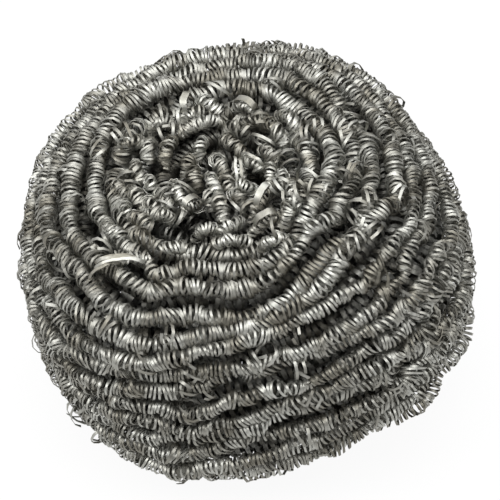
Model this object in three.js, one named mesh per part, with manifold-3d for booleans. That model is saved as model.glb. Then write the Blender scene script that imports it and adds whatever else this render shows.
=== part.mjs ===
// A stainless steel scourer: one long, springy strand of coiled steel ribbon, wound round and round
// into a squat ball. The strand starts in a rosette at the crown, spirals out over the top, runs down
// the side turn by turn and spirals in again underneath, where its weight presses the lowest turns flat.
// Millimetres, +Z up. The origin is on the surface the scourer rests on, under the middle of the ball.

import * as THREE from "three";
import { ParametricGeometry } from "three/addons/geometries/ParametricGeometry.js";
import { mergeVertices } from "three/addons/utils/BufferGeometryUtils.js";
import Module from "manifold-3d";

const { clamp, degToRad, lerp, smoothstep } = THREE.MathUtils;

// The ball
const OUTER_DIAMETER = 93; // across the fullest turns
const CROWN_HEIGHT = 42; // from the level of the fullest turns up to the crown
const BASE_HEIGHT = 19.5; // and from there down to the underside
const CROWN_SQUARENESS = 3.8; // exponent of the upper part of the outline: 2 is an ellipse
const BASE_SQUARENESS = 2.1; // and of the lower part, which is rounder
const BALL_TILT = 8.7; // degrees that the crown leans to the left
const PRESSED_DEPTH = 3; // how far the lowest turns are squeezed by the surface they rest on
const DIMPLE_DEPTH = 3; // the hollow in the middle of the rosette
const DIMPLE_RADIUS = 12;

// The strand
const STRAND_DIAMETER = 4.4; // over the loops of the coiled ribbon
const TURN_SPACING = 4.7; // from one turn to the next
const STRAND_START = 30; // degrees about the axis, from the right, where the strand begins
const GROOVE_DEPTH = 3.4; // from a crest down to where the turns underneath fill the groove

// How unevenly the strand was wound, and how many waves of each kind there are to a turn
const WEAVE = 1.3; // sideways wander of one turn against its neighbours
const WEAVE_RATES = [1.37, 2.61, 4.83];
const LIFT = 1.3; // how far one turn rides above or below its neighbours
const LIFT_RATES = [1.71, 3.29, 4.43];
const SLANT = 3; // how far the turns lie lower on the left than on the right

// Where two turns part and leave a groove: the place along the strand and the half length, in turns, and
// how far the turns above and below are pushed down, in shares of their spacing.
const PARTINGS = [
  [6.44, 0.039, 0.09, 0.64],
  [6.37, 0.039, -0.34, -0.15],
  [6.3, 0.039, 0.09, 0.43],
  [6.25, 0.022, 0.07, 0.06],
  [7.48, 0.039, -0.3, 0.18],
  [7.39, 0.025, 0.14, 0.52],
  [9.34, 0.039, -0.06, 0.27],
  [9.28, 0.028, 0.01, 0.18],
  [9.22, 0.044, -0.13, 0.16],
  [11.28, 0.044, -0.34, -0.02],
  [11.37, 0.022, 0.1, 0.38],
  [16.28, 0.017, 0.32, 0.49],
  [4.41, 0.017, 0.02, 0.6],
  [6.21, 0.022, -0.27, -0.34],
  [14.31, 0.072, 0.06, -0.45],
  [7.54, 0.039, 0.03, 0.51],
];
const HANDED_ON = 0.6; // the share of a push that each turn hands on to the next one

// The ball isn't round: waves about the axis, with the count, the height in outer radii and the place in
// degrees, for the upper and the lower turns.
const UPPER_LOBES = [[2, 0.03, -7], [3, 0.037, -68], [4, 0.03, -135]];
const LOWER_LOBES = [[2, 0.017, -138], [3, 0.017, -48], [4, 0.013, -92]];
const UPPER_END = 0.34; // where the one begins to give way to the other, along the meridian
const LOWER_START = 0.64;

// Hollows in the ball: to the right of the crown, away from the viewer and reach, all along the surface in
// outer radii, and the depth in strand diameters. One that is less than nothing deep is a bump.
const HOLLOWS = [
  [-0.49, 0.12, 0.069, 0.86],
  [-0.245, -0.477, 0.065, 0.64],
  [0.335, -0.391, 0.056, 0.59],
  [-0.226, 0.4, 0.06, 0.59],
  [-0.353, 0.348, 0.052, 0.55],
  [0.555, 0.353, 0.06, 0.59],
  [1.07, -1.59, 0.258, 0.45],
  [1.53, -0.83, 0.2, 0.45],
  [0.51, -1.72, 0.2, 0.25],
  [-0.91, 0.41, 0.15, -0.25],
  [-0.17, 0.88, 0.2, -0.2],
  [0.123, 0.174, 0.042, 0.7],
  [0.284, 0.108, 0.047, 0.7],
  [0.129, -0.116, 0.04, 0.6],
  [-0.09, -0.22, 0.05, 0.6],
  [-0.155, -0.335, 0.04, 0.5],
  [-0.2, 0, 0.036, 0.5],
];

// The rosette: petals are short stretches of strand that rise out of the ball and dive in again.
const ROSETTE_RADIUS = 20; // where the petals give way to whole turns
const ROSETTE_EDGE = 3; // half the width of that change
const ROSETTE_DEPTH = 4; // how far the turns under the petals lie below the others
const PETAL_DIAMETER = 3.2;
const PETAL_FULLNESS = 2; // 2 is as full at the top as a round strand, less is steeper
const PETAL_DIVE = 1.8; // how far the ends of a petal lie below its middle

// To the right of the crown and away from the viewer in rosette radii, heading in degrees, length in
// rosette radii and lift in petal radii.
const PETALS = [
  [0.04, -0.13, -70, 0.25, 0.4],
  [-0.11, -0.11, -75, 0.3, 0.6],
  [0.15, 0.04, -85, 0.3, 0.3],
  [-0.04, 0.15, -65, 0.25, 0.4],
  [0.18, -0.16, -20, 0.2, 0.3],
  [-0.3, 0.02, -80, 0.25, 0.3],
  [0.3, 0.09, -40, 0.25, 0.7],
  [-0.14, -0.3, -80, 0.2, 0.3],
  [0.14, -0.32, -60, 0.25, 0.5],
  [0.12, 0.33, -50, 0.4, 0.5],
  [-0.37, 0.17, 70, 0.2, 0.2],
  [-0.03, -0.43, -80, 0.35, 0.6],
  [-0.24, 0.39, 70, 0.2, 0.2],
  [0.48, -0.07, 88, 0.3, 0.4],
  [-0.33, -0.39, 40, 0.2, 0.1],
  [0.48, 0.18, -55, 0.3, 0.3],
  [-0.47, -0.2, -70, 0.3, 0.5],
  [0.42, -0.42, 57, 0.4, 0.4],
  [0.13, 0.58, -15, 0.15, 0.2],
  [0.61, -0.22, -80, 0.2, 0.2],
  [-0.57, 0.32, 77, 0.35, 0.6],
  [-0.23, 0.63, 15, 0.45, 0.6],
  [-0.61, -0.29, -60, 0.2, 0.3],
  [0.31, 0.61, 0, 0.2, 0.3],
  [0.08, -0.69, 25, 0.25, 0.2],
  [0.55, 0.45, -54, 0.4, 0.5],
  [-0.74, -0.08, -75, 0.2, 0.1],
  [-0.17, -0.73, 10, 0.25, 0.1],
  [-0.71, -0.41, -40, 0.2, 0.3],
  [0.71, -0.42, -82, 0.3, 0.2],
  [0.24, 0.81, -35, 0.3, 0.2],
  [0.83, 0.17, -70, 0.55, 0.2],
  [-0.28, 0.8, 10, 0.2, 0.2],
  [0.45, -0.72, 20, 0.35, 0.3],
  [-0.66, -0.54, -8, 0.3, 0.2],
  [-0.77, 0.39, 80, 0.25, 0.1],
  [0.05, -0.88, 5, 0.35, 0.1],
  [-0.89, 0.13, -75, 0.3, 0.2],
  [0.67, 0.62, -50, 0.25, 0.1],
  [-0.88, -0.25, -65, 0.3, 0.3],
  [-0.15, 0.92, -45, 0.25, 0.3],
  [0.67, -0.66, 60, 0.2, 0.2],
  [-0.65, 0.71, 22, 0.3, 0.1],
  [-0.84, -0.58, -45, 0.25, 0.2],
  [-0.47, -0.94, -12, 0.3, 0.1],
  [-0.39, 0.98, 75, 0.25, 0.2],
  [-1.05, -0.11, -58, 0.25, 0.2],
  [-0.99, -0.43, -60, 0.3, 0.3],
  [0.52, -0.95, 12, 0.3, 0.1],
  [-0.98, 0.49, 15, 0.25, 0.3],
  [-0.82, -0.81, -35, 0.25, 0.2],
  [-1.12, -0.68, -55, 0.3, 0.3],
  [-1.01, -1.06, 0, 0.5, 0.4],
];

// Facets
const STEPS_PER_TURN = 50;
const ROWS_PER_TURN = 4;
const OUTLINE_STEPS = 2000;
const MERGE_DISTANCE = 1e-3;

const strandRadius = STRAND_DIAMETER / 2;
const petalRadius = PETAL_DIAMETER / 2;
const outerRadius = OUTER_DIAMETER / 2;

// The outline of the ball from the crown down to the underside, as (distance from the axis, height above
// the fullest turns).
class Meridian extends THREE.Curve {
  getPoint(t, target = new THREE.Vector2()) {
    const angle = Math.PI * t;
    const upper = Math.cos(angle) > 0;
    const across = Math.sin(angle) / outerRadius;
    const up = Math.abs(Math.cos(angle)) / (upper ? CROWN_HEIGHT : BASE_HEIGHT);
    const squareness = upper ? CROWN_SQUARENESS : BASE_SQUARENESS;
    const reach = (across ** squareness + up ** squareness) ** (-1 / squareness);
    return target.set(reach * Math.sin(angle), reach * Math.cos(angle));
  }
}
const meridian = new Meridian();
meridian.arcLengthDivisions = OUTLINE_STEPS;
const meridianLength = meridian.getLength();
const turnCount = Math.ceil(meridianLength / TURN_SPACING);

// A slow wave along the strand, from -1 to 1. The rates aren't whole numbers, so no two turns wave alike.
function wave(turn, rates) {
  const sum = rates.reduce((total, rate) => total + Math.sin(2 * Math.PI * rate * turn + rate), 0);
  return sum / rates.length;
}

// 0 at the crown and the underside, rising to 1 over the given distance along the meridian.
function awayFromPoles(arc, distance) {
  return smoothstep(Math.min(arc, meridianLength - arc), 0, distance);
}

// How far the turns are pushed down the meridian where two of them part.
function partingShift(turn) {
  let shift = 0;
  for (const [place, halfLength, above, below] of PARTINGS) {
    const turnsBelow = Math.round(turn - place);
    const aside = (turn - place - turnsBelow) / halfLength;
    const push = turnsBelow > 0 ? below * HANDED_ON ** (turnsBelow - 1) : above * HANDED_ON ** -turnsBelow;
    shift += push * Math.exp(-(aside ** 2));
  }
  return shift * TURN_SPACING;
}

// Where the crest of a turn lies, measured along the meridian.
function crestArc(turn) {
  const even = turn * TURN_SPACING;
  const uneven = WEAVE * wave(turn, WEAVE_RATES) + partingShift(turn);
  return even + uneven * awayFromPoles(even, 2 * TURN_SPACING);
}

// How far all the turns at a place are shifted down the meridian.
function drift(azimuth, arc) {
  return -SLANT * Math.cos(azimuth) * awayFromPoles(arc, outerRadius);
}

// How far the waves of a table bulge at an azimuth.
function lobes(azimuth, table) {
  const sum = table.reduce(
    (total, [waves, height, place]) => total + height * Math.cos(waves * azimuth - degToRad(place)),
    0,
  );
  return sum * outerRadius;
}

// How far the ball bulges at a place, less the hollows there.
function swell(azimuth, arc) {
  const share = smoothstep(arc / meridianLength, UPPER_END, LOWER_START);
  const bulge = lerp(lobes(azimuth, UPPER_LOBES), lobes(azimuth, LOWER_LOBES), share);
  let hollow = 0;
  for (const [right, away, reach, depth] of HOLLOWS) {
    const aside = (arc * Math.cos(azimuth)) / outerRadius - right;
    const beyond = (arc * Math.sin(azimuth)) / outerRadius - away;
    const far = Math.hypot(aside, beyond);
    hollow += depth * STRAND_DIAMETER * Math.exp(-((far / reach) ** 2));
  }
  return bulge * awayFromPoles(arc, outerRadius) - hollow;
}

// The top of a round strand of the given radius, at a distance from its middle line.
function roundTop(radius, aside) {
  return Math.sqrt(Math.max(0, radius ** 2 - aside ** 2)) - radius;
}

// The top of one turn at a place on the meridian, against the outline of the ball.
function strandTop(turn, arc) {
  return LIFT * wave(turn, LIFT_RATES) + roundTop(strandRadius, arc - crestArc(turn));
}

// 0 in the rosette, rising to 1 where whole turns run round it.
function outsideRosette(arc) {
  return smoothstep(arc, ROSETTE_RADIUS - ROSETTE_EDGE, ROSETTE_RADIUS + ROSETTE_EDGE);
}

// The top of the highest petal at a place, or of the turns underneath.
function petalTop(azimuth, arc) {
  const right = (arc * Math.cos(azimuth)) / ROSETTE_RADIUS;
  const away = (arc * Math.sin(azimuth)) / ROSETTE_RADIUS;
  let top = -ROSETTE_DEPTH;
  for (const [petalRight, petalAway, heading, length, lift] of PETALS) {
    const turned = degToRad(heading);
    const along = (right - petalRight) * Math.cos(turned) + (away - petalAway) * Math.sin(turned);
    const aside = (away - petalAway) * Math.cos(turned) - (right - petalRight) * Math.sin(turned);
    const share = clamp((2 * along) / length, -1, 1);
    const off = ROSETTE_RADIUS * Math.hypot(aside, along - (share * length) / 2);
    const middle = lift * petalRadius - PETAL_DIVE * share ** 2;
    top = Math.max(top, middle - off ** 2 / (PETAL_FULLNESS * petalRadius));
  }
  return top;
}

// A point on the ball: azimuth about the axis, arc down from the crown, height out from the outline.
function onBall(azimuth, arc, height, target) {
  const along = clamp(arc / meridianLength, 0, 1);
  const outline = meridian.getPointAt(along);
  const tangent = meridian.getTangentAt(along);
  const radius = Math.max(0, outline.x - tangent.y * height);
  const dimple = DIMPLE_DEPTH * Math.exp(-((arc / DIMPLE_RADIUS) ** 2));
  const z = outline.y + tangent.x * height - dimple;
  return target.set(radius * Math.cos(azimuth), radius * Math.sin(azimuth), z);
}

// The wound skin: u runs once round the axis and v down the meridian. One turn of u moves one turn
// down the strand, so the last column joins the first one turn lower.
function woundSkin(u, v, target) {
  const azimuth = degToRad(STRAND_START) - 2 * Math.PI * u;
  const row = Math.round(v * (turnCount + 1) * ROWS_PER_TURN);
  const upper = Math.floor(row / ROWS_PER_TURN) - 1 + u;
  const share = (row % ROWS_PER_TURN) / ROWS_PER_TURN;
  const arc = lerp(crestArc(upper), crestArc(upper + 1), share);
  if (arc <= 0) return onBall(azimuth, 0, petalTop(azimuth, 0), target);
  if (arc >= meridianLength) return onBall(azimuth, meridianLength, 0, target);
  const place = arc + drift(azimuth, arc);
  const crests = Math.max(-GROOVE_DEPTH, strandTop(upper, arc), strandTop(upper + 1, arc));
  const turns = lerp(-ROSETTE_DEPTH, crests, outsideRosette(arc));
  return onBall(azimuth, place, Math.max(turns, petalTop(azimuth, place)) + swell(azimuth, place), target);
}

const wasm = await Module();
wasm.setup();

// A closed geometry as a solid: equal points are merged, and the slivers at the poles dropped.
function toSolid(geometry) {
  const bare = geometry.clone().deleteAttribute("normal").deleteAttribute("uv");
  const merged = mergeVertices(bare, MERGE_DISTANCE);
  const corners = merged.index.array;
  const triVerts = [];
  for (let i = 0; i < corners.length; i += 3) {
    const [a, b, c] = corners.subarray(i, i + 3);
    if (a !== b && b !== c && c !== a) triVerts.push(a, b, c);
  }
  const vertProperties = merged.attributes.position.array;
  const mesh = new wasm.Mesh({ numProp: 3, vertProperties, triVerts: new Uint32Array(triVerts) });
  return new wasm.Manifold(mesh);
}

function toGeometry(solid) {
  const { vertProperties, triVerts } = solid.getMesh();
  const geometry = new THREE.BufferGeometry();
  geometry.setAttribute("position", new THREE.BufferAttribute(vertProperties, 3));
  geometry.setIndex(new THREE.BufferAttribute(triVerts, 1));
  geometry.computeVertexNormals();
  return geometry;
}

// The wound ball, leaning as it lies, with the lowest turns level where they press on the surface.
function woundStrand() {
  const ball = new ParametricGeometry(woundSkin, STEPS_PER_TURN, (turnCount + 1) * ROWS_PER_TURN);
  ball.rotateY(-degToRad(BALL_TILT));
  ball.computeBoundingBox();
  const middle = ball.boundingBox.getCenter(new THREE.Vector3());
  ball.translate(-middle.x, -middle.y, -ball.boundingBox.min.z - PRESSED_DEPTH);
  const underSurface = new THREE.BoxGeometry(2 * OUTER_DIAMETER, 2 * OUTER_DIAMETER, OUTER_DIAMETER);
  underSurface.translate(0, 0, -OUTER_DIAMETER / 2);
  return toGeometry(toSolid(ball).subtract(toSolid(underSurface)));
}

const stainlessSteel = new THREE.MeshStandardMaterial({ color: 0x8d8d86, roughness: 0.36, metalness: 1 });

const scourer = new THREE.Group();
const strand = new THREE.Mesh(woundStrand(), stainlessSteel);
strand.name = "wound_strand";
scourer.add(strand);

export default scourer;
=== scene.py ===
# %% [markdown]
# A stainless steel scourer is one very long steel ribbon. The ribbon is curled into a springy strand,
# like a curled gift ribbon, and the strand is wound round and round into a squat ball. This lesson builds
# it the way it is made: first the path on which the strand was wound, then the curl of the ribbon along
# that path, and last the bits that came loose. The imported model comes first, because it fixes every size.

# %% Load the frame
import bpy
import math
import numpy as np
from functools import partial
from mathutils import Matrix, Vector


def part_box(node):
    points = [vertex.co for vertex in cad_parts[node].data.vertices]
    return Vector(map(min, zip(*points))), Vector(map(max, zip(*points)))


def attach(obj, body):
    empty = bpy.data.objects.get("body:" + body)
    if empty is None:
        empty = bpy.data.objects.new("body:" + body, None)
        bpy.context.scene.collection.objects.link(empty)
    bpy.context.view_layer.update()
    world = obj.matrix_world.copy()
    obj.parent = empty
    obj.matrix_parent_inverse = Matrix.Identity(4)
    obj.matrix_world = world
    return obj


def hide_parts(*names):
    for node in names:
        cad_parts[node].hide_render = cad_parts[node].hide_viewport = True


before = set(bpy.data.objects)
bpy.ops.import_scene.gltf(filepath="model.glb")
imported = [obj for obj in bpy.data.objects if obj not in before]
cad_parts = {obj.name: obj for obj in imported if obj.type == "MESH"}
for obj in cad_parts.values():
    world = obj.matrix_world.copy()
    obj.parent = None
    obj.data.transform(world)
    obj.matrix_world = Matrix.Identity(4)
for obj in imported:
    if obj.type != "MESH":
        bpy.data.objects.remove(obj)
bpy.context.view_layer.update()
MM = 0.001
ball_low, ball_high = (Vector(corner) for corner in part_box("wound_strand"))
ball_middle = (ball_low + ball_high) / 2
print("ball, mm:", [round(side / MM, 1) for side in ball_high - ball_low])

# %% [markdown]
# The camera stands where the photographer stood: high above the scourer, and far enough off that the ball
# hardly narrows with distance. A long lens keeps the ball large in the frame all the same. The aim is a
# little off the middle of the ball, so that the ball sits in the frame as it should.

# %% Camera
CAMERA_ELEVATION = math.radians(51)
CAMERA_DISTANCE = 800 * MM
FRAME_WIDTH = 103.3 * MM
SENSOR_WIDTH = 36
AIM_RIGHT = 0.6 * MM
AIM_UP = -0.3 * MM

scene = bpy.context.scene
scene.view_settings.view_transform = "Standard"
to_camera = Vector((0, -math.cos(CAMERA_ELEVATION), math.sin(CAMERA_ELEVATION)))
picture_right = Vector((1, 0, 0))
picture_up = to_camera.cross(picture_right)
aim = Vector((0, 0, ball_middle.z)) + AIM_RIGHT * picture_right + AIM_UP * picture_up

camera_data = bpy.data.cameras.new("camera")
camera_data.sensor_width = SENSOR_WIDTH
camera_data.lens = SENSOR_WIDTH * CAMERA_DISTANCE / FRAME_WIDTH
camera = bpy.data.objects.new("camera", camera_data)
camera.location = aim + CAMERA_DISTANCE * to_camera
camera.rotation_euler = to_camera.to_track_quat("Z", "Y").to_euler()
scene.collection.objects.link(camera)
scene.camera = camera
print("lens, mm:", round(camera_data.lens))

# %% [markdown]
# The scourer stands on white paper in a grey room. Bright metal shows its surroundings more than itself,
# so the paper matters as much as the lamps: it lights the strand from below. Stronger lamps could make the
# paper white, but they would bleach the steel too. So the paper glows plain white to the camera and in
# the steel alone, with a small share left over for the shadow under the ball. Two helpers come first. One
# adds a node and fills in its inputs, the other is one step of arithmetic.

# %% Floor
FLOOR_SIZE = 8.0
FLOOR_WHITE = (0.9, 0.9, 0.9, 1)
PLAIN_WHITE_SHARE = 0.93


def fill_inputs(tree, node, inputs):
    """Sets a node's inputs to values, or wires them to the outputs of other nodes."""
    for socket, value in inputs.items():
        if isinstance(value, bpy.types.NodeSocket):
            tree.links.new(value, node.inputs[socket])
        else:
            node.inputs[socket].default_value = value


def add_node(tree, kind, inputs=None, **settings):
    """Adds a node. Its settings come first, because they decide which inputs it has."""
    node = tree.nodes.new(kind)
    for name, value in settings.items():
        setattr(node, name, value)
    fill_inputs(tree, node, inputs or {})
    return node


def add_sum(tree, operation, *values):
    """One step of arithmetic on numbers or on the outputs of nodes."""
    return add_node(tree, "ShaderNodeMath", dict(enumerate(values)), operation=operation).outputs[0]


def floor_white():
    """White paper: it takes shadows, and shows plain white to the camera and in the steel."""
    paper = bpy.data.materials.new("floor_white")
    paper.use_nodes = True
    tree = paper.node_tree
    matt = tree.nodes["Principled BSDF"]
    fill_inputs(tree, matt, {"Base Color": FLOOR_WHITE, "Roughness": 1.0, "Specular IOR Level": 0.0})
    plain = add_node(tree, "ShaderNodeEmission", {"Strength": 1.0})
    rays = add_node(tree, "ShaderNodeLightPath").outputs
    seen = add_sum(tree, "MAXIMUM", rays["Is Camera Ray"], rays["Is Glossy Ray"])
    seen = add_sum(tree, "MAXIMUM", seen, rays["Is Transmission Ray"])
    mix = add_node(tree, "ShaderNodeMixShader", {
        "Fac": add_sum(tree, "MULTIPLY", seen, PLAIN_WHITE_SHARE),
        1: matt.outputs["BSDF"],
        2: plain.outputs["Emission"],
    })
    fill_inputs(tree, tree.nodes["Material Output"], {"Surface": mix.outputs["Shader"]})
    return paper


half_floor = FLOOR_SIZE / 2
floor_corners = [(x * half_floor, y * half_floor, 0) for x, y in ((-1, -1), (1, -1), (1, 1), (-1, 1))]
floor_mesh = bpy.data.meshes.new("floor")
floor_mesh.from_pydata(floor_corners, [], [(0, 1, 2, 3)])
floor_mesh.materials.append(floor_white())
floor = bpy.data.objects.new("floor", floor_mesh)
scene.collection.objects.link(floor)
print("floor, m:", FLOOR_SIZE)

# %% [markdown]
# Five wide, soft lamps make the glints. The strongest hangs overhead and one stands behind, so that the
# crown and the rim at the back are brightest. One stands on each side, and a weak one fills the front. A
# loop of ribbon catches a lamp only where it turns the right way, which is what breaks the shine up into
# beads. The grey room fills in the rest and keeps the grooves dark.

# %% Lamps and room
ROOM_GREY = (0.15, 0.15, 0.15, 1)
LAMP_DISTANCE = 1.0
LAMPS = (
    # name, azimuth (0 in front, 90 to the right), elevation, size in metres, watts
    ("lamp_above", 0, 84, 0.8, 8.2),
    ("lamp_back", 185, 45, 0.8, 4.4),
    ("lamp_front", 10, 12, 0.6, 1.0),
    ("lamp_left", 280, 40, 0.7, 6.8),
    ("lamp_right", 75, 45, 0.7, 4.0),
)


def towards(azimuth, elevation):
    """The direction from the ball to a lamp."""
    turn, rise = math.radians(azimuth), math.radians(elevation)
    return Vector((math.sin(turn) * math.cos(rise), -math.cos(turn) * math.cos(rise), math.sin(rise)))


def soft_lamp(name, azimuth, elevation, size, watts):
    """A square lamp that faces the ball."""
    light = bpy.data.lights.new(name, "AREA")
    light.size = size
    light.energy = watts
    lamp = bpy.data.objects.new(name, light)
    to_lamp = towards(azimuth, elevation)
    lamp.location = ball_middle + LAMP_DISTANCE * to_lamp
    lamp.rotation_euler = to_lamp.to_track_quat("Z", "Y").to_euler()
    lamp.visible_camera = False
    scene.collection.objects.link(lamp)


for lamp_sizes in LAMPS:
    soft_lamp(*lamp_sizes)
room = bpy.data.worlds.new("room")
room.use_nodes = True
room.node_tree.nodes["Background"].inputs["Color"].default_value = ROOM_GREY
room.node_tree.nodes["Background"].inputs["Strength"].default_value = 1.0
scene.world = room
print("lamps, W:", round(sum(lamp_sizes[-1] for lamp_sizes in LAMPS), 1))

# %% [markdown]
# The ribbon is shaved or rolled from stainless wire, so it is bright but not polished. Fine lines run
# along it from the tool, and the grey is a little warm. Some stretches and patches are duller and warmer
# than the rest. A picture of brushed steel would have to be wrapped round every loop, so noise makes them
# instead. The lines and stretches follow the ribbon by two measures that the curl stores later: how far
# along it a point lies, and how far across. Three tones are made of it: the ribbon on the outside, a darker
# copy that is painted shade for ribbon deep in the ball, and a brighter copy that is painted light for the
# petals and the pulled ribbons.

# %% Steel
STEEL = (0.46, 0.46, 0.425)
WARM_STEEL = (0.2, 0.19, 0.16)
# how dark the copy that is painted shade is, for ribbon deep in the ball
PAINTED_SHADE_BRIGHTNESS = 0.5
# how bright the copy that is painted light is, for the petals and pulled ribbons
PAINTED_LIGHT_BRIGHTNESS = 1.2
PATCHES_PER_METRE = 160
STRETCHES_PER_METRE = 90
WEAR_RANGE = (0.8, 1.2)
GRAIN_PER_METRE = 900
GRAIN_RANGE = (0.3, 0.7)
ROUGHNESS_RANGE = (0.4, 0.6)
LINES_ALONG = 150
LINES_ACROSS = 7
LINE_DEPTH = 0.01 * MM
LINE_STRENGTH = 0.35


def steel_ribbon(name, brightness):
    """Bright steel with fine lines along the ribbon, and stretches and patches of warmer, duller metal."""
    steel = bpy.data.materials.new(name)
    steel.use_nodes = True
    tree = steel.node_tree
    place = add_node(tree, "ShaderNodeTexCoord").outputs["Object"]
    along = add_node(tree, "ShaderNodeAttribute", attribute_name="along").outputs["Fac"]
    across = add_node(tree, "ShaderNodeAttribute", attribute_name="across").outputs["Fac"]

    patches = add_node(tree, "ShaderNodeTexNoise", {
        "Vector": place,
        "Scale": PATCHES_PER_METRE,
        "Detail": 2.0,
    })
    stretches = add_node(tree, "ShaderNodeTexNoise", {
        "W": along,
        "Scale": STRETCHES_PER_METRE,
    }, noise_dimensions="1D")
    wear = add_node(tree, "ShaderNodeMapRange", {
        "Value": add_sum(tree, "ADD", patches.outputs["Fac"], stretches.outputs["Fac"]),
        "From Min": WEAR_RANGE[0],
        "From Max": WEAR_RANGE[1],
    })
    bright, warm = ((*(brightness * part for part in shade), 1) for shade in (STEEL, WARM_STEEL))
    colour = add_node(tree, "ShaderNodeMix", {
        "Factor": wear.outputs["Result"],
        "A": bright,
        "B": warm,
    }, data_type="RGBA")

    grain = add_node(tree, "ShaderNodeTexNoise", {"Vector": place, "Scale": GRAIN_PER_METRE})
    roughness = add_node(tree, "ShaderNodeMapRange", {
        "Value": grain.outputs["Fac"],
        "From Min": GRAIN_RANGE[0],
        "From Max": GRAIN_RANGE[1],
        "To Min": ROUGHNESS_RANGE[0],
        "To Max": ROUGHNESS_RANGE[1],
    })

    on_ribbon = add_node(tree, "ShaderNodeCombineXYZ", {
        "X": add_sum(tree, "MULTIPLY", along, LINES_ALONG),
        "Y": add_sum(tree, "MULTIPLY", across, LINES_ACROSS),
    })
    lines = add_node(tree, "ShaderNodeTexNoise", {
        "Vector": on_ribbon.outputs["Vector"],
        "Scale": 1.0,
        "Detail": 3.0,
    })
    bump = add_node(tree, "ShaderNodeBump", {
        "Strength": LINE_STRENGTH,
        "Distance": LINE_DEPTH,
        "Height": lines.outputs["Fac"],
    })
    fill_inputs(tree, tree.nodes["Principled BSDF"], {
        "Metallic": 1.0,
        "Base Color": colour.outputs["Result"],
        "Roughness": roughness.outputs["Result"],
        "Normal": bump.outputs["Normal"],
    })
    return steel


STEEL_RIBBON = steel_ribbon("steel_ribbon", 1.0)
# a darker copy of the steel: painted shade for ribbon deep in the ball
PAINTED_SHADE_STEEL = steel_ribbon("painted_shade_steel", PAINTED_SHADE_BRIGHTNESS)
# a brighter copy of the steel: painted light for the petals and pulled ribbons
PAINTED_LIGHT_STEEL = steel_ribbon("painted_light_steel", PAINTED_LIGHT_BRIGHTNESS)
print("steel, red:", STEEL[0], "to", WARM_STEEL[0])

# %% [markdown]
# The ball isn't round. Its outline, from the crown down to the underside, is a squarish bun above and a
# rounder one below, and the whole ball leans to the left where it was set down. A flattened sphere would be
# too round at the shoulder, so the outline follows a rule whose squareness can be set. These are the sizes
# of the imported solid, so that the strand comes to lie where the solid has its turns.

# %% Outline of the ball
OUTER_RADIUS = 46.5 * MM
CROWN_HEIGHT = 42 * MM
BASE_HEIGHT = 19.5 * MM
CROWN_SQUARENESS = 3.8
BASE_SQUARENESS = 2.1
BALL_TILT = math.radians(8.7)
DIMPLE_DEPTH = 3 * MM
DIMPLE_RADIUS = 12 * MM
OUTLINE_STEPS = 4000

angle = np.linspace(0, np.pi, OUTLINE_STEPS)
is_upper = np.cos(angle) > 0
squareness = np.where(is_upper, CROWN_SQUARENESS, BASE_SQUARENESS)
across = np.sin(angle) / OUTER_RADIUS
up = np.abs(np.cos(angle)) / np.where(is_upper, CROWN_HEIGHT, BASE_HEIGHT)
reach = (across ** squareness + up ** squareness) ** (-1 / squareness)
outline_radius = reach * np.sin(angle)
outline_z = reach * np.cos(angle)
outline_steps = np.hypot(np.diff(outline_radius), np.diff(outline_z))
outline_arc = np.concatenate([[0], np.cumsum(outline_steps)])
outline_length = outline_arc[-1]
slope_radius = np.gradient(outline_radius, outline_arc)
slope_z = np.gradient(outline_z, outline_arc)
lean = np.array([
    [math.cos(BALL_TILT), 0, -math.sin(BALL_TILT)],
    [0, 1, 0],
    [math.sin(BALL_TILT), 0, math.cos(BALL_TILT)],
])
print("outline, mm:", round(outline_length / MM, 1))


def on_ball(azimuth, arc, height):
    """Points and outward directions, by azimuth, arc down from the crown and height off the outline."""
    along = np.clip(arc, 0, outline_length)
    out_radius = -np.interp(along, outline_arc, slope_z)
    out_z = np.interp(along, outline_arc, slope_radius)
    radius = np.maximum(0, np.interp(along, outline_arc, outline_radius) + out_radius * height)
    dimple = DIMPLE_DEPTH * np.exp(-((arc / DIMPLE_RADIUS) ** 2))
    z = np.interp(along, outline_arc, outline_z) + out_z * height - dimple
    points = np.stack([radius * np.cos(azimuth), radius * np.sin(azimuth), z], axis=-1)
    outward = np.stack([out_radius * np.cos(azimuth), out_radius * np.sin(azimuth), out_z], axis=-1)
    return points @ lean.T, outward @ lean.T


# %% [markdown]
# A strand that is wound by hand never lies evenly. It weaves from side to side, rides up on its
# neighbours, and here and there two turns part and leave a dark groove. The path could be drawn point by
# point, but it is metres long. So it is worked out: an even winding first, then waves, partings, bulges
# and hollows on top of it. The same unevenness was modelled in the solid.

# %% Path of the strand
STRAND_RADIUS = 2.2 * MM
TURN_SPACING = 4.7 * MM
STRAND_START = math.radians(30)
WEAVE = 1.3 * MM
WEAVE_RATES = (1.37, 2.61, 4.83)
LIFT = 1.3 * MM
LIFT_RATES = (1.71, 3.29, 4.43)
ROSETTE_RADIUS = 20 * MM
ROSETTE_EDGE = 3 * MM
ROSETTE_DEPTH = 4 * MM
PRESSED_DEPTH = 3 * MM
SLANT = 3 * MM
PARTINGS = (
    # turn, half length in turns, shift of the turns above and below in shares of their spacing
    (6.44, 0.039, 0.09, 0.64),
    (6.37, 0.039, -0.34, -0.15),
    (6.3, 0.039, 0.09, 0.43),
    (6.25, 0.022, 0.07, 0.06),
    (7.48, 0.039, -0.3, 0.18),
    (7.39, 0.025, 0.14, 0.52),
    (9.34, 0.039, -0.06, 0.27),
    (9.28, 0.028, 0.01, 0.18),
    (9.22, 0.044, -0.13, 0.16),
    (11.28, 0.044, -0.34, -0.02),
    (11.37, 0.022, 0.1, 0.38),
    (16.28, 0.017, 0.32, 0.49),
    (4.41, 0.017, 0.02, 0.6),
    (6.21, 0.022, -0.27, -0.34),
    (14.31, 0.072, 0.06, -0.45),
    (7.54, 0.039, 0.03, 0.51),
)
HANDED_ON = 0.6
UPPER_LOBES = ((2, 0.03, -7), (3, 0.037, -68), (4, 0.03, -135))
LOWER_LOBES = ((2, 0.017, -138), (3, 0.017, -48), (4, 0.013, -92))
UPPER_END = 0.34
LOWER_START = 0.64
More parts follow.
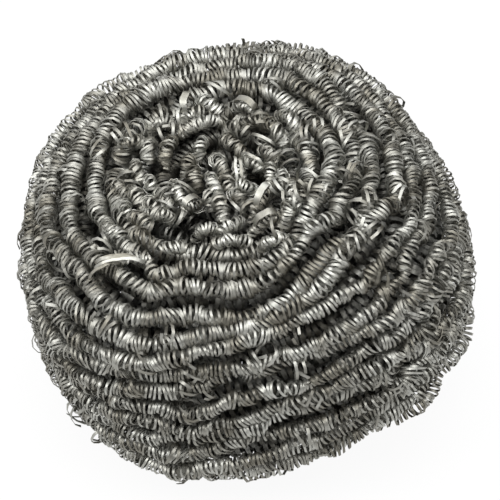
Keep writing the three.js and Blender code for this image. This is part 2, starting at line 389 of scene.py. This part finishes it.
HOLLOWS = (
    # to the right of the crown, away from the viewer, reach in outer radii and depth in strand diameters
    (-0.49, 0.12, 0.069, 0.86),
    (-0.245, -0.477, 0.065, 0.64),
    (0.335, -0.391, 0.056, 0.59),
    (-0.226, 0.4, 0.06, 0.59),
    (-0.353, 0.348, 0.052, 0.55),
    (0.555, 0.353, 0.06, 0.59),
    (1.07, -1.59, 0.258, 0.45),
    (1.53, -0.83, 0.2, 0.45),
    (0.51, -1.72, 0.2, 0.25),
    (-0.91, 0.41, 0.15, -0.25),
    (-0.17, 0.88, 0.2, -0.2),
    (0.123, 0.174, 0.042, 0.7),
    (0.284, 0.108, 0.047, 0.7),
    (0.129, -0.116, 0.04, 0.6),
    (-0.09, -0.22, 0.05, 0.6),
    (-0.155, -0.335, 0.04, 0.5),
    (-0.2, 0, 0.036, 0.5),
)
LAST_TURN = outline_length / TURN_SPACING


def smoothstep(value, low, high):
    """From 0 to 1 as a value goes from low to high, level at both ends."""
    share = np.clip((value - low) / (high - low), 0, 1)
    return share * share * (3 - 2 * share)


def wave(turn, rates):
    """Waves that never quite repeat, from -1 to 1; rates are in waves to a turn."""
    return sum(np.sin(2 * np.pi * rate * turn + rate) for rate in rates) / len(rates)


def away_from_poles(arc, distance):
    """From 0 at the crown and the underside to 1 at a distance from both."""
    return smoothstep(np.minimum(arc, outline_length - arc), 0, distance)


def parting_shift(turn):
    """How far the turns are pushed down the outline where two of them part."""
    shift = np.zeros_like(turn)
    for place, half_length, above, below in PARTINGS:
        turns_below = np.floor(turn - place + 0.5)
        aside = turn - place - turns_below
        side = np.where(turns_below > 0, below, above)
        steps = np.where(turns_below > 0, turns_below - 1, -turns_below)
        shift += side * HANDED_ON ** steps * np.exp(-((aside / half_length) ** 2))
    return shift * TURN_SPACING


def crest_arc(turn):
    """How far down the outline the strand lies."""
    even = turn * TURN_SPACING
    uneven = WEAVE * wave(turn, WEAVE_RATES) + parting_shift(turn)
    return even + uneven * away_from_poles(even, 2 * TURN_SPACING)


def crest_lift(turn):
    """How high a turn rides; in the rosette the turns lie low, under the petals."""
    edge = smoothstep(turn * TURN_SPACING, ROSETTE_RADIUS - ROSETTE_EDGE, ROSETTE_RADIUS + ROSETTE_EDGE)
    return LIFT * wave(turn, LIFT_RATES) * edge - ROSETTE_DEPTH * (1 - edge)


def drift(azimuth, arc):
    """The turns lie lower on the left than on the right."""
    return -SLANT * np.cos(azimuth) * away_from_poles(arc, OUTER_RADIUS)


def lobes(azimuth, table):
    """Bulges around the ball, by their number, height in outer radii and phase in degrees."""
    waves = (height * np.cos(count * azimuth - math.radians(place)) for count, height, place in table)
    return OUTER_RADIUS * sum(waves)


def swell(azimuth, arc):
    """How far the ball bulges at a place, less the hollows there."""
    share = smoothstep(arc / outline_length, UPPER_END, LOWER_START)
    bulge = lobes(azimuth, UPPER_LOBES) * (1 - share) + lobes(azimuth, LOWER_LOBES) * share
    hollow = 0
    for right, away, width, depth in HOLLOWS:
        aside = arc * np.cos(azimuth) / OUTER_RADIUS - right
        beyond = arc * np.sin(azimuth) / OUTER_RADIUS - away
        far = np.hypot(aside, beyond) / width
        hollow = hollow + depth * 2 * STRAND_RADIUS * np.exp(-(far ** 2))
    return bulge * away_from_poles(arc, OUTER_RADIUS) - hollow


def winding(first_turn, last_turn, depth=0.0, aside=0.0, step=1.0 * MM):
    """The middle of the strand over some turns; depth goes inwards and aside along the outline."""
    count = int((last_turn - first_turn) * 2 * np.pi * OUTER_RADIUS / step)
    turns = np.linspace(first_turn, last_turn, count)
    azimuth = STRAND_START - 2 * np.pi * turns
    even = np.clip(crest_arc(turns) + aside, 0, outline_length)
    arc = even + drift(azimuth, even)
    height = crest_lift(turns) + swell(azimuth, arc) - STRAND_RADIUS - depth
    return on_ball(azimuth, arc, height)


whole_path, whole_out = winding(0, LAST_TURN)
tops = whole_path + STRAND_RADIUS * whole_out
path_middle = (tops.min(axis=0) + tops.max(axis=0)) / 2
seat = np.array([
    ball_middle.x - path_middle[0],
    ball_middle.y - path_middle[1],
    -PRESSED_DEPTH - tops[:, 2].min(),
])
path_length = np.linalg.norm(np.diff(whole_path, axis=0), axis=1).sum()
print("strand, m:", round(path_length, 2), "in", round(LAST_TURN, 1), "turns")
print("seat, mm:", (seat / MM).round(2), "highest, mm:", ((tops[:, 2].max() + seat[2]) / MM).round(2))

# %% [markdown]
# The ribbon leaves the mill flat. Pulled over an edge it curls up, as gift ribbon does over a scissor
# blade, and becomes a springy tube of loops: the strand. Single rings set along the path would be easier
# to make, but a ring has no end and never leads into the next one. So one ribbon is curled all along the
# path. A node tree does it, because one tree then serves every stretch of the strand, and the sizes of the
# curl are inputs that each stretch sets for itself.

# %% Curl tree: inputs
CURL_INPUTS = (
    # name, kind and usual value
    ("Curl Radius", "NodeSocketFloat", 2.05 * MM),
    ("Curl Pitch", "NodeSocketFloat", 1.35 * MM),
    ("Steps per Curl", "NodeSocketInt", 12),
    ("Ribbon Width", "NodeSocketFloat", 0.62 * MM),
    ("Ribbon Thickness", "NodeSocketFloat", 0.12 * MM),
    ("Bunching", "NodeSocketFloat", 0.8 * MM),
    ("Wander", "NodeSocketFloat", 0.7 * MM),
    ("Tilt", "NodeSocketFloat", 0.5),
    ("Twist", "NodeSocketFloat", 0.6),
    ("Size Change", "NodeSocketFloat", 0.25),
    ("Lumps", "NodeSocketFloat", 0.12),
    ("Crumple", "NodeSocketFloat", 1.8),
    ("Tangle", "NodeSocketFloat", 0.0),
    ("Sway", "NodeSocketFloat", 0.0),
    ("Seed", "NodeSocketFloat", 0.0),
)
curl_tree = bpy.data.node_groups.new("curled_ribbon", "GeometryNodeTree")
face = curl_tree.interface
face.new_socket("Geometry", in_out="INPUT", socket_type="NodeSocketGeometry")
for name, kind, usual in CURL_INPUTS:
    face.new_socket(name, in_out="INPUT", socket_type=kind).default_value = usual
face.new_socket("Material", in_out="INPUT", socket_type="NodeSocketMaterial")
face.new_socket("Geometry", in_out="OUTPUT", socket_type="NodeSocketGeometry")

node = partial(add_node, curl_tree)
sums = partial(add_sum, curl_tree)
given = node("NodeGroupInput").outputs
print("curl tree:", len(CURL_INPUTS), "sizes")

# %% [markdown]
# The tree walks along the path in small steps, many to each loop. No two loops of a real strand are alike,
# so noise along the path changes their size, leans them over, moves them aside and bunches them. Each of
# these has its own rate, and reads its own row of one sheet of noise, so that no two go together.

# %% Curl tree: path and noise
NOISES = {
    # name: waves in a metre of strand, and its row of the noise
    "bunching": (140, 3.3),
    "size": (420, 7.7),
    "lean out": (160, 11.1),
    "lean aside": (160, 15.9),
    "wander out": (300, 19.3),
    "wander aside": (300, 23.9),
    "twist": (2400, 27.1),
    "lumps": (150, 31.3),
    "sway": (90, 41.7),
}
NOISE_SPREAD = 2.5
SPLINE_GAP = 7.31

path = node("GeometryNodeMeshToCurve", {"Mesh": given["Geometry"]}).outputs["Curve"]
step = sums("DIVIDE", given["Curl Pitch"], given["Steps per Curl"])
steps = node("GeometryNodeResampleCurve", {"Curve": path, "Length": step}, mode="LENGTH").outputs["Curve"]
place = node("GeometryNodeSplineParameter").outputs["Length"]
spline = node("GeometryNodeCurveOfPoint").outputs["Curve Index"]


def uneven(name, amount):
    """Smooth noise along the strand, up to about an amount either way."""
    rate, row = NOISES[name]
    spot = node("ShaderNodeCombineXYZ", {
        "X": sums("MULTIPLY", sums("MULTIPLY", place, rate), given["Crumple"]),
        "Y": sums("ADD", sums("MULTIPLY", spline, SPLINE_GAP), sums("ADD", given["Seed"], row)),
    })
    noise = node("ShaderNodeTexNoise", {
        "Vector": spot.outputs["Vector"],
        "Scale": 1.0,
        "Detail": 1.0,
    }, noise_dimensions="2D")
    either_way = sums("MULTIPLY", sums("SUBTRACT", noise.outputs[0], 0.5), NOISE_SPREAD)
    return sums("MULTIPLY", either_way, amount)


print("curl tree:", len(NOISES), "kinds of unevenness")

# %% [markdown]
# Each step is put on a circle about the path, so that the path becomes a helix. Its radius, lean and place
# vary with the noise. The path says at each point which way is out of the ball, so that the circle stands
# square to it, and how tangled the strand is there. No loop goes through the paper: steps that would are
# lifted to lie on it.

# %% Curl tree: loops


def vectors(operation, *values):
    """One step of arithmetic on vectors."""
    made = node("ShaderNodeVectorMath", dict(enumerate(values)), operation=operation)
    return made.outputs["Value" if operation == "DOT_PRODUCT" else "Vector"]


def scaled(vector, factor):
    """A vector made longer or shorter."""
    made = node("ShaderNodeVectorMath", {"Vector": vector, "Scale": factor}, operation="SCALE")
    return made.outputs["Vector"]


def recalled(name, kind):
    """A measure that the path or an earlier node has stored at each point."""
    return node("GeometryNodeInputNamedAttribute", {"Name": name}, data_type=kind).outputs["Attribute"]


on_path = node("GeometryNodeSampleCurve", {
    "Curves": path,
    "Value": recalled("outward", "FLOAT_VECTOR"),
    "Length": sums("ADD", place, uneven("bunching", given["Bunching"])),
    "Curve Index": spline,
}, mode="LENGTH", data_type="FLOAT_VECTOR").outputs
tangent = on_path["Tangent"]
along_tangent = scaled(tangent, vectors("DOT_PRODUCT", on_path["Value"], tangent))
out = vectors("NORMALIZE", vectors("SUBTRACT", on_path["Value"], along_tangent))
side = vectors("CROSS_PRODUCT", tangent, out)

tangled = recalled("tangled", "FLOAT")
unrest = sums("ADD", 1.0, sums("MULTIPLY", tangled, given["Tangle"]))
size = sums("ADD", 1.0, uneven("size", sums("MULTIPLY", given["Size Change"], unrest)))
size = sums("ADD", size, uneven("lumps", given["Lumps"]))
curl_radius = sums("MULTIPLY", given["Curl Radius"], size)

turned = sums("MULTIPLY", sums("DIVIDE", place, given["Curl Pitch"]), 2 * math.pi)
cosine = sums("COSINE", turned)
sine = sums("SINE", turned)
tilt = sums("MULTIPLY", given["Tilt"], unrest)
lean_out = sums("MULTIPLY", cosine, uneven("lean out", tilt))
lean_aside = sums("MULTIPLY", sine, uneven("lean aside", tilt))
sway = uneven("sway", sums("MULTIPLY", tangled, given["Sway"]))
wander_aside = sums("ADD", uneven("wander aside", given["Wander"]), sway)

position = on_path["Position"]
for direction, distance in (
    (out, sums("ADD", sums("MULTIPLY", curl_radius, cosine), uneven("wander out", given["Wander"]))),
    (side, sums("ADD", sums("MULTIPLY", curl_radius, sine), wander_aside)),
    (tangent, sums("MULTIPLY", curl_radius, sums("ADD", lean_out, lean_aside))),
):
    position = vectors("ADD", position, scaled(direction, distance))
split = node("ShaderNodeSeparateXYZ", {"Vector": position}).outputs
half_width = sums("MULTIPLY", given["Ribbon Width"], 0.5)
above_floor = node("ShaderNodeCombineXYZ", {
    "X": split["X"],
    "Y": split["Y"],
    "Z": sums("MAXIMUM", split["Z"], half_width),
}).outputs["Vector"]
print("curl tree:", len(curl_tree.nodes), "nodes so far")

# %% [markdown]
# A flat section is swept along the helix. A plain strip of faces would have no thickness and no inside, so
# the section is a thin rectangle and the ribbon a closed solid. It faces away from the middle of its loop,
# but for quick small twists that break its shine up into short glints. The mesh keeps how far along and
# across the ribbon a point lies, for the steel, and drops the measures that only the tree needs.

# %% Curl tree: ribbon


def stored(curve, name, value, kind="FLOAT"):
    """Keeps a measure at each point of a curve, for later nodes and for the steel."""
    return node("GeometryNodeStoreNamedAttribute", {"Geometry": curve, "Name": name, "Value": value},
                data_type=kind, domain="POINT").outputs["Geometry"]


radial = vectors("ADD", scaled(out, cosine), scaled(side, sine))
radial = vectors("ADD", radial, scaled(tangent, uneven("twist", given["Twist"])))
loops = stored(steps, "radial", radial, "FLOAT_VECTOR")
loops = stored(loops, "along", sums("ADD", place, spline))
loops = node("GeometryNodeSetPosition", {"Geometry": loops, "Position": above_floor}).outputs["Geometry"]
loops = node("GeometryNodeSetCurveNormal", {
    "Curve": loops,
    "Normal": recalled("radial", "FLOAT_VECTOR"),
}, mode="FREE").outputs["Curve"]

section = node("GeometryNodeCurvePrimitiveQuadrilateral", {
    "Width": given["Ribbon Thickness"],
    "Height": given["Ribbon Width"],
}, mode="RECTANGLE").outputs["Curve"]
section = node("GeometryNodeCurveSplineType", {"Curve": section}, spline_type="BEZIER").outputs["Curve"]
section = node("GeometryNodeCurveSetHandles", {"Curve": section}, handle_type="VECTOR").outputs["Curve"]
corner = node("ShaderNodeSeparateXYZ", {"Vector": node("GeometryNodeInputPosition").outputs["Position"]})
section = stored(section, "across", sums("DIVIDE", corner.outputs["Y"], given["Ribbon Width"]))

ribbon = node("GeometryNodeCurveToMesh", {
    "Curve": loops,
    "Profile Curve": section,
    "Fill Caps": True,
}).outputs["Mesh"]
for spent in ("radial", "outward", "tangled"):
    ribbon = node("GeometryNodeRemoveAttribute", {"Geometry": ribbon, "Name": spent}).outputs["Geometry"]
ribbon = node("GeometryNodeSetShadeSmooth", {"Geometry": ribbon}).outputs["Geometry"]
ribbon = node("GeometryNodeRealizeInstances", {"Geometry": ribbon}).outputs["Geometry"]
ribbon = node("GeometryNodeSetMaterial", {
    "Geometry": ribbon,
    "Material": given["Material"],
}).outputs["Geometry"]
node("NodeGroupOutput", {"Geometry": ribbon})
print("curl tree:", len(curl_tree.nodes), "nodes")

# %% [markdown]
# In places the strand was caught as it was handled, and its loops lie in a tangle. These loops could be
# drawn one by one, but the tree can make them too if the path tells it where they are. So each tangle is a
# place on the ball with a reach. Near it the loops lean over further and differ more in size, and the
# strand sways out of its row, over its neighbours.

# %% Tangles
TANGLES = (
    # middle of the tangle and its reach, in mm
    (24, -20, 63, 11),
    (38, -20, 52, 12),
    (36, -30, 40, 12),
    (38, -26, 32, 9),
    (-42, -20, 36, 12),
    (-36, -33, 34, 8),
    (3, -43, 37, 11),
    (-16, -44, 22, 10),
    (-12, 42, 40, 12),
    (36, 24, 40, 12),
    (-38, 22, 30, 12),
)


def tangled_at(points):
    """How tangled the strand is at some points, from 0 to 1."""
    neat = np.ones(len(points))
    for *middle, reach in TANGLES:
        far = np.linalg.norm(points / MM - middle, axis=1) / reach
        neat *= 1 - np.exp(-(far ** 2))
    return 1 - neat


tangled_share = tangled_at(tops + seat).mean()
print("tangles:", len(TANGLES), "over", round(100 * tangled_share), "percent of the strand")

# %% [markdown]
# A path is handed to the tree as a thin mesh of points and edges, because points can carry the measures
# that the tree asks for. The sizes of its curl are set on the tree's inputs, the curled ribbon is taken
# out as a plain mesh, and the tree goes. Each of these meshes stands for a stretch of the imported solid, so
# it is hung on the root body and the solid's strand is hidden.

# %% Curling a strand


def path_mesh(name, paths):
    """A thin mesh of points and edges, with the way out and the tangle stored at each point."""
    points = np.concatenate([path for path, _ in paths]) + seat
    outward = np.concatenate([out for _, out in paths])
    ends = np.cumsum([len(path) for path, _ in paths])
    first = np.setdiff1d(np.arange(len(points) - 1), ends[:-1] - 1)
    edges = np.stack([first, first + 1], axis=-1)
    mesh = bpy.data.meshes.new(name)
    mesh.vertices.add(len(points))
    mesh.vertices.foreach_set("co", points.astype(np.float32).ravel())
    mesh.edges.add(len(edges))
    mesh.edges.foreach_set("vertices", edges.astype(np.int32).ravel())
    for measure, kind, field, values in (
        ("outward", "FLOAT_VECTOR", "vector", outward),
        ("tangled", "FLOAT", "value", tangled_at(points)),
    ):
        attribute = mesh.attributes.new(measure, kind, "POINT")
        attribute.data.foreach_set(field, values.astype(np.float32).ravel())
    return mesh


def input_id(name):
    """The identifier by which a modifier knows one of the tree's inputs."""
    return next(s.identifier for s in face.items_tree if s.in_out == "INPUT" and s.name == name)


def curled_strand(name, paths, steel=STEEL_RIBBON, **sizes):
    """Strands of curled ribbon along some paths, as one plain mesh."""
    thin = path_mesh(name + "_path", paths)
    strand = bpy.data.objects.new(name, thin)
    scene.collection.objects.link(strand)
    curl = strand.modifiers.new("curl", "NODES")
    curl.node_group = curl_tree
    curl[input_id("Material")] = steel
    for key, value in sizes.items():
        curl[input_id(key.replace("_", " "))] = value
    depsgraph = bpy.context.evaluated_depsgraph_get()
    finished = bpy.data.meshes.new_from_object(strand.evaluated_get(depsgraph))
    finished.name = name
    strand.modifiers.clear()
    strand.data = finished
    bpy.data.meshes.remove(thin)
    finished.calc_loop_triangles()
    print(name, "triangles:", len(finished.loop_triangles))
    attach(strand, "root")
    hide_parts("wound_strand")


# %% [markdown]
# The strand is one piece on the real scourer, and so is its path here. It is curled in stretches only to
# keep each mesh at a size that is easy to handle. The loops lie closer together near the crown, where the
# winding starts tight, and further apart underneath, where the ball's weight spreads them. On the sides
# the strand is pulled tight and its loops are smaller. Smaller loops lie as much further out, so that the
# ball keeps its outline. The turns under the rosette lie deep, so they get the darker steel, painted shade.

# %% Outer turns
FULL_LOOP = 1.9
OUTER_TURNS = (
    # name, first and last turn, steel, radius and pitch of the curl and width of the ribbon in mm
    # the turns under the rosette get the darker steel, which is painted shade
    ("rosette_turns", 0.0, 3.7, PAINTED_SHADE_STEEL, 1.9, 0.85, 0.5),
    ("crown_turns", 3.7, 8.5, STEEL_RIBBON, 1.75, 0.85, 0.5),
    ("upper_turns", 8.5, 13.0, STEEL_RIBBON, 1.5, 0.85, 0.48),
    ("lower_turns", 13.0, 19.0, STEEL_RIBBON, 1.5, 0.9, 0.48),
    ("underside_turns", 19.0, LAST_TURN, STEEL_RIBBON, 1.8, 1.2, 0.6),
)
for piece, (name, first, last, steel, radius, pitch, width) in enumerate(OUTER_TURNS):
    outer_path = winding(first, last, depth=(radius - FULL_LOOP) * MM)
    curled_strand(
        name, [outer_path], steel, Seed=float(piece), Steps_per_Curl=10, Curl_Radius=radius * MM,
        Curl_Pitch=pitch * MM, Ribbon_Width=width * MM, Size_Change=0.25, Lumps=0.3, Crumple=1.1, Tilt=0.9,
        Twist=1.2, Wander=0.6 * MM, Bunching=1.8 * MM, Tangle=0.7, Sway=3.5 * MM)

# %% [markdown]
# Between the loops one looks into the ball and sees more of the same: deeper turns, in the shade of the
# outer ones. A dark ball inside would be cheaper, but it would show as a smooth wall. Two layers of strand
# stand in for all the inner turns, one close under the outer turns and a coarser one further in. The
# coarser one lies half a turn lower, so that no groove lets one see right through the ball. They are seen
# only in glimpses, so their loops have fewer steps, and their steel is darker for the light that the loops
# above them would take away.

# %% Inner turns
INNER_TURNS = (
    # name, first and last turn, depth in mm, shift down the outline in turns, pitch of the curl and width
    # of the ribbon in mm
    ("inner_upper_turns", 0.5, 13.0, 5.0, 0.0, 1.8, 0.9),
    ("inner_lower_turns", 13.0, LAST_TURN - 0.5, 5.0, 0.0, 1.8, 0.9),
    ("core_turns", 1.5, LAST_TURN - 1.5, 9.0, 0.5, 2.6, 1.7),
)
# the inner turns get the darker steel, which is painted shade
for piece, (name, first, last, depth, aside, pitch, width) in enumerate(INNER_TURNS):
    inner_path = winding(first, last, depth=depth * MM, aside=aside * TURN_SPACING)
    curled_strand(
        name, [inner_path], PAINTED_SHADE_STEEL, Seed=20.0 + piece, Steps_per_Curl=8, Curl_Pitch=pitch * MM,
        Ribbon_Width=width * MM)

# %% [markdown]
# At the crown the winding begins as a tuft. Short stretches of strand come up out of the ball, arch over
# and dive in again, like the petals of a rose. Chance could scatter them, but the eye goes to the crown
# first. So each petal has its place, heading, length and lift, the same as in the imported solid. Petals are
# squeezed and handled more than the turns are, so their curl is tight and crumpled.

# %% Petals
PETALS = (
    # to the right of the crown and away from the viewer in rosette radii, heading in degrees, length in
    # rosette radii and lift in petal radii
    (0.04, -0.13, -70, 0.25, 0.4),
    (-0.11, -0.11, -75, 0.3, 0.6),
    (0.15, 0.04, -85, 0.3, 0.3),
    (-0.04, 0.15, -65, 0.25, 0.4),
    (0.18, -0.16, -20, 0.2, 0.3),
    (-0.3, 0.02, -80, 0.25, 0.3),
    (0.3, 0.09, -40, 0.25, 0.7),
    (-0.14, -0.3, -80, 0.2, 0.3),
    (0.14, -0.32, -60, 0.25, 0.5),
    (0.12, 0.33, -50, 0.4, 0.5),
    (-0.37, 0.17, 70, 0.2, 0.2),
    (-0.03, -0.43, -80, 0.35, 0.6),
    (-0.24, 0.39, 70, 0.2, 0.2),
    (0.48, -0.07, 88, 0.3, 0.4),
    (-0.33, -0.39, 40, 0.2, 0.1),
    (0.48, 0.18, -55, 0.3, 0.3),
    (-0.47, -0.2, -70, 0.3, 0.5),
    (0.42, -0.42, 57, 0.4, 0.4),
    (0.13, 0.58, -15, 0.15, 0.2),
    (0.61, -0.22, -80, 0.2, 0.2),
    (-0.57, 0.32, 77, 0.35, 0.6),
    (-0.23, 0.63, 15, 0.45, 0.6),
    (-0.61, -0.29, -60, 0.2, 0.3),
    (0.31, 0.61, 0, 0.2, 0.3),
    (0.08, -0.69, 25, 0.25, 0.2),
    (0.55, 0.45, -54, 0.4, 0.5),
    (-0.74, -0.08, -75, 0.2, 0.1),
    (-0.17, -0.73, 10, 0.25, 0.1),
    (-0.71, -0.41, -40, 0.2, 0.3),
    (0.71, -0.42, -82, 0.3, 0.2),
    (0.24, 0.81, -35, 0.3, 0.2),
    (0.83, 0.17, -70, 0.55, 0.2),
    (-0.28, 0.8, 10, 0.2, 0.2),
    (0.45, -0.72, 20, 0.35, 0.3),
    (-0.66, -0.54, -8, 0.3, 0.2),
    (-0.77, 0.39, 80, 0.25, 0.1),
    (0.05, -0.88, 5, 0.35, 0.1),
    (-0.89, 0.13, -75, 0.3, 0.2),
    (0.67, 0.62, -50, 0.25, 0.1),
    (-0.88, -0.25, -65, 0.3, 0.3),
    (-0.15, 0.92, -45, 0.25, 0.3),
    (0.67, -0.66, 60, 0.2, 0.2),
    (-0.65, 0.71, 22, 0.3, 0.1),
    (-0.84, -0.58, -45, 0.25, 0.2),
    (-0.47, -0.94, -12, 0.3, 0.1),
    (-0.39, 0.98, 75, 0.25, 0.2),
    (-1.05, -0.11, -58, 0.25, 0.2),
    (-0.99, -0.43, -60, 0.3, 0.3),
    (0.52, -0.95, 12, 0.3, 0.1),
    (-0.98, 0.49, 15, 0.25, 0.3),
    (-0.82, -0.81, -35, 0.25, 0.2),
    (-1.12, -0.68, -55, 0.3, 0.3),
    (-1.01, -1.06, 0, 0.5, 0.4),
)
PETAL_RADIUS = 1.6 * MM
PETAL_DIVE = 1.8 * MM
PETAL_STEPS = 14
PETAL_BEND = 2


def over_crown(x, y, heading, length, lift, bend):
    """A short path over the crown that dives in at both ends, later and steeper with a higher bend."""
    share = np.linspace(-1, 1, PETAL_STEPS)
    right = x + share * length / 2 * math.cos(math.radians(heading))
    away = y + share * length / 2 * math.sin(math.radians(heading))
    azimuth = np.arctan2(away, right)
    arc = np.hypot(right, away)
    height = lift - PETAL_DIVE * share ** bend + swell(azimuth, arc) - PETAL_RADIUS
    return on_ball(azimuth, arc, height)


petal_paths = [
    over_crown(ROSETTE_RADIUS * x, ROSETTE_RADIUS * y, heading, ROSETTE_RADIUS * length,
               PETAL_RADIUS * lift, PETAL_BEND)
    for x, y, heading, length, lift in PETALS
]
# the petals get the brighter steel, which is painted light
curled_strand(
    "petals", petal_paths, PAINTED_LIGHT_STEEL, Seed=40.0, Steps_per_Curl=8, Crumple=3.5, Curl_Radius=1.3 * MM,
    Curl_Pitch=0.42 * MM, Ribbon_Width=0.45 * MM, Size_Change=0.4, Lumps=0.45, Tilt=1.1, Twist=1.2,
    Wander=0.5 * MM, Bunching=0.3 * MM)

# %% [markdown]
# Here and there loops were caught and pulled straight, or rubbed flat, and the ribbon shows as a bright
# streak or a smooth patch. They go through the same tree, with a curl so thin and long that it hardly
# turns at all. Streaks are narrow ribbons side by side that happen to throw the lamp above at the camera,
# and patches are single wide ribbons that lie as the ball does.

# %% Pulled ribbons
to_lamp_above = next(towards(*lamp_sizes[1:3]) for lamp_sizes in LAMPS if lamp_sizes[0] == "lamp_above")
to_glint = tuple((to_camera + to_lamp_above).normalized())
PULLED = (
    # name, width of the ribbon in mm and whether it glints, then for each place: to the right of the crown,
    # away from the viewer, heading in degrees, length and lift in mm
    ("streaks", 0.55, True, (
        (-23.2, -23.6, 16, 6, 3.6),
        (-20.2, -23.0, -2, 9, 3.8),
        (-20.0, -22.4, -6, 9, 3.8),
        (-20.8, -21.8, -4, 8, 3.6),
        (2.6, 0.8, -86, 6, 2.2),
        (3.6, 0.6, -84, 6, 2.0),
        (5.8, 2.2, -40, 4.5, 2.8),
        (6.4, 1.6, -36, 4, 2.8),
    )),
    ("patches", 1.5, False, (
        (4.8, 16.2, -35, 4.5, 2.4),
        (8.4, -8.4, 57, 5, 2.6),
        (8.8, -14.4, 20, 4.5, 2.4),
        (-6.4, -7.6, 42, 3.5, 2.2),
        (-7.8, 19.6, 75, 4, 2.2),
    )),
)
PULLED_BEND = 4
for name, width, glints, places in PULLED:
    pulled_paths = []
    for x, y, heading, length, lift in places:
        points, outward = over_crown(MM * x, MM * y, heading, MM * length, MM * lift, PULLED_BEND)
        pulled_paths.append((points, np.full_like(points, to_glint) if glints else outward))
    # streaks and patches get the brighter steel too, which is painted light
    curled_strand(
        name, pulled_paths, PAINTED_LIGHT_STEEL, Seed=50.0, Steps_per_Curl=600, Curl_Radius=0.3 * MM,
        Curl_Pitch=400 * MM, Ribbon_Width=width * MM, Tilt=0.0, Twist=0.3, Wander=0.3 * MM, Bunching=0.0)

# %% [markdown]
# The ribbon is springy, and single loops stand away from the strand all over the ball. They blur the edge
# of the turns and make the outline fuzzy. Chance places them, from a fixed seed, so that the ball is the
# same each time.

# %% Stray loops
STRAY_COUNT = 160
STRAY_LENGTH = (1.5 * MM, 4.0 * MM)
STRAY_LIFT = (-0.4 * MM, 0.9 * MM)
STRAY_STEPS = 6
chance = np.random.default_rng(11)
stray_paths = []
for stray in range(STRAY_COUNT):
    azimuth = chance.uniform(0, 2 * np.pi)
    arc = outline_length * chance.uniform(0.05, 0.8)
    heading = chance.uniform(0, 2 * np.pi)
    along_stray = np.linspace(-0.5, 0.5, STRAY_STEPS) * chance.uniform(*STRAY_LENGTH)
    around = np.interp(arc, outline_arc, outline_radius)
    azimuths = azimuth + along_stray * math.cos(heading) / around
    arcs = arc + along_stray * math.sin(heading)
    lift = chance.uniform(*STRAY_LIFT)
    stray_paths.append(on_ball(azimuths, arcs, lift + swell(azimuths, arcs) - STRAND_RADIUS))
curled_strand(
    "stray_loops", stray_paths, Seed=60.0, Curl_Radius=2.3 * MM, Curl_Pitch=1.6 * MM, Size_Change=0.4,
    Tilt=0.9)
